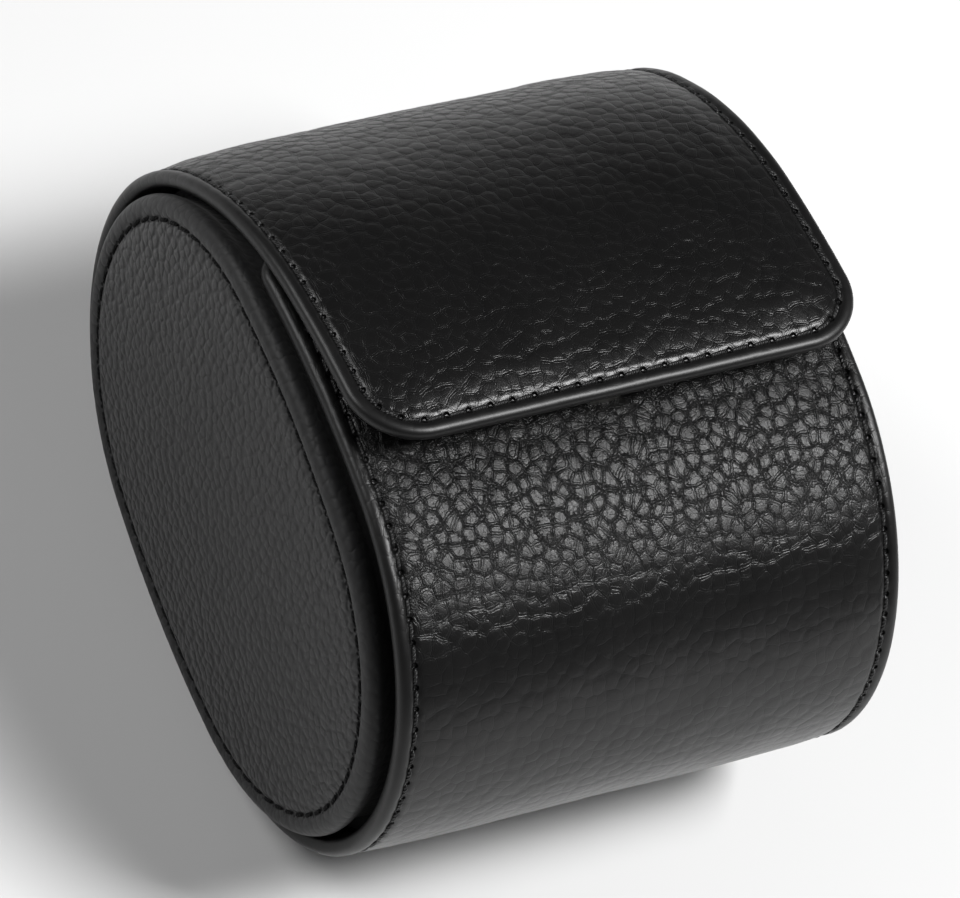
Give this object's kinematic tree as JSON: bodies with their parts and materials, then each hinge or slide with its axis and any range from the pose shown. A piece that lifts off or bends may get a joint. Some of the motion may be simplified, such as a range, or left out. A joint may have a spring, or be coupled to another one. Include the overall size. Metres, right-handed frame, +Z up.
{
  "type": "watch travel case",
  "caption": "Leather travel roll for a wristwatch: oval stitched wrap, padded oval end discs, wrap-over flap with hidden magnetic snap, slide-out pillow.",
  "frame": {"origin": "middle of the case's footprint on the surface it lies on, at the middle of its length, with the case lying on its back", "axes": "+X along the roll from the left end disc to the right one, +Y from the round end to the mouth and hinge, +Z up from the back to the front under the flap"},
  "size_m": [0.0762, 0.093, 0.0774],
  "materials": {
    "wrap_leather": "black pebbled leather with a soft sheen",
    "end_leather": "black fine-grained leather, matte",
    "suede_lining": "charcoal suede-like lining, matte",
    "pillow_suede": "charcoal suede-like cover, matte",
    "thread": "black waxed thread",
    "hinge_tape": "woven reinforcing tape",
    "board": "grey-brown stiffener board",
    "foam": "soft off-white foam",
    "snap_metal": "nickel-plated",
    "magnet": "dark ferrite magnet"
  },
  "bodies": {
    "case": {"shell_board": "board", "shell_leather": "wrap_leather", "shell_lining": "suede_lining", "hinge_strip_back": "hinge_tape", "rim_stitches_left": "thread", "rim_stitches_right": "thread", "mouth_stitches": "thread", "end_board_left": "board", "end_board_right": "board", "end_pad_left": "foam", "end_pad_right": "foam", "end_cover_left": "end_leather", "end_cover_right": "end_leather", "end_stitches_left": "thread", "end_stitches_right": "thread", "end_lining_left": "suede_lining", "end_lining_right": "suede_lining", "snap_cup": "snap_metal", "snap_magnet": "magnet", "snap_washer": "snap_metal"},
    "flap": {"flap_board": "board", "flap_leather": "wrap_leather", "flap_lining": "suede_lining", "hinge_strip_flap": "hinge_tape", "flap_stitches": "thread", "snap_plate": "snap_metal"},
    "pillow": {"pillow_core": "foam", "pillow_cover": "pillow_suede", "pillow_end_left": "pillow_suede", "pillow_end_right": "pillow_suede"}
  },
  "joints": [
    {"name": "flap_hinge", "type": "hinge", "parent": "case", "child": "flap", "pos_m": [0, 0.03843, 0.01292], "axis": [-1, 0, 0], "range_deg": [0, 100]},
    {"name": "pillow_slide", "type": "slide", "parent": "case", "child": "pillow", "axis": [0, 0.8829, 0.4695], "range_m": [0, 0.072]}
  ],
  "couplings": [
    {"joint": "pillow_slide", "follows": "flap_hinge", "m_per_rad": 0.04125}
  ]
}
